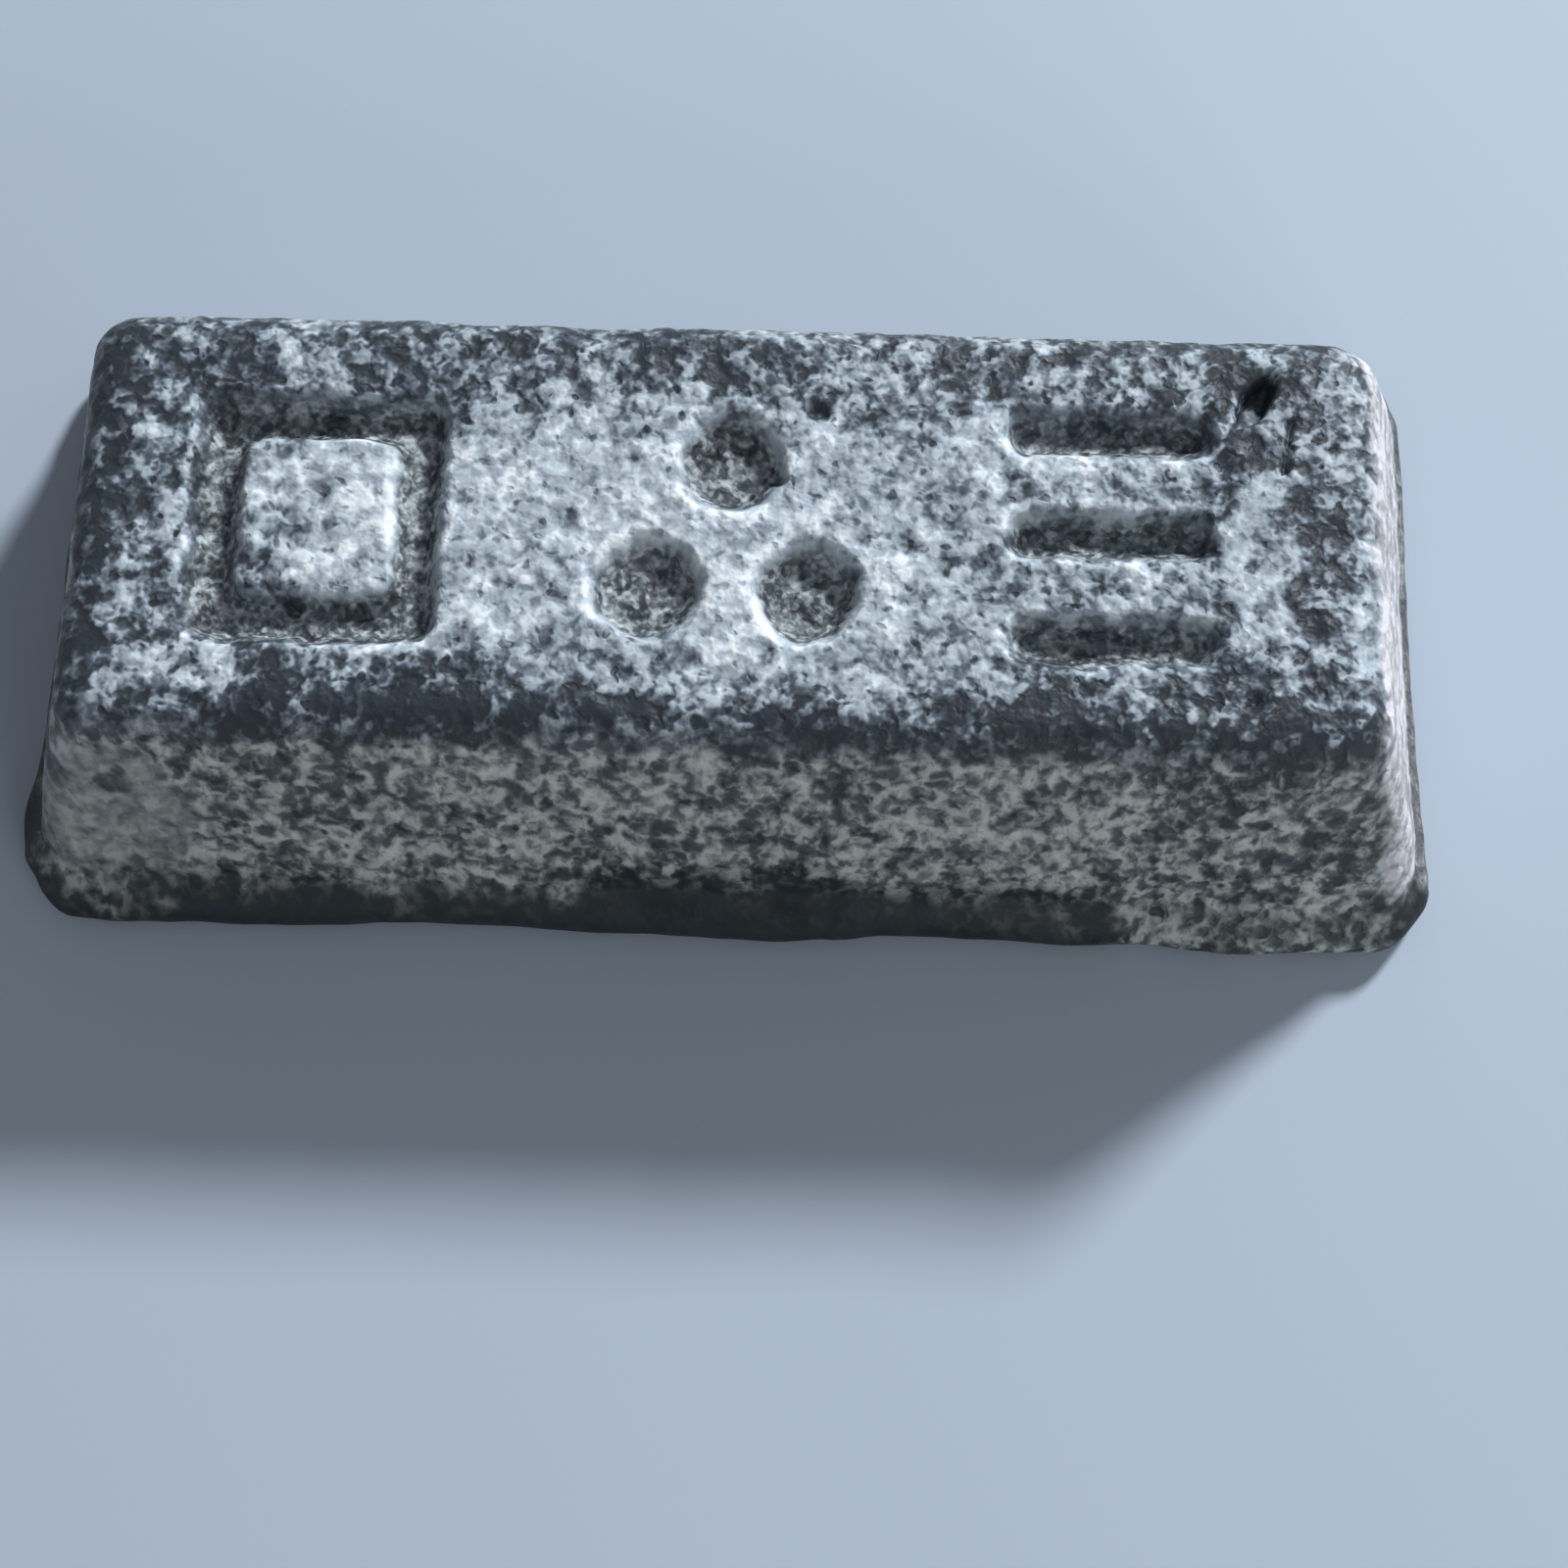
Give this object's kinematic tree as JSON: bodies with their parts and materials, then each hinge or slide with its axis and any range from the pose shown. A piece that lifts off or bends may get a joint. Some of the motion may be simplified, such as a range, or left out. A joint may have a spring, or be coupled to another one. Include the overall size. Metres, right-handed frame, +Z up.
{
  "type": "metal ingot",
  "caption": "Small hand-poured lead ingot: a tapered bar with round shoulders, sunk marks on its face and a soft lip round its foot.",
  "frame": {"origin": "on the ground, under the middle of the bar", "axes": "+X along the bar, +Y across it, +Z up through the moulded face"},
  "size_m": [0.1424, 0.0653, 0.0315],
  "materials": {
    "lead": "as-cast lead, dull blue-grey with a pale oxide crust"
  },
  "bodies": {
    "root": {"ingot": "lead"}
  },
  "joints": []
}
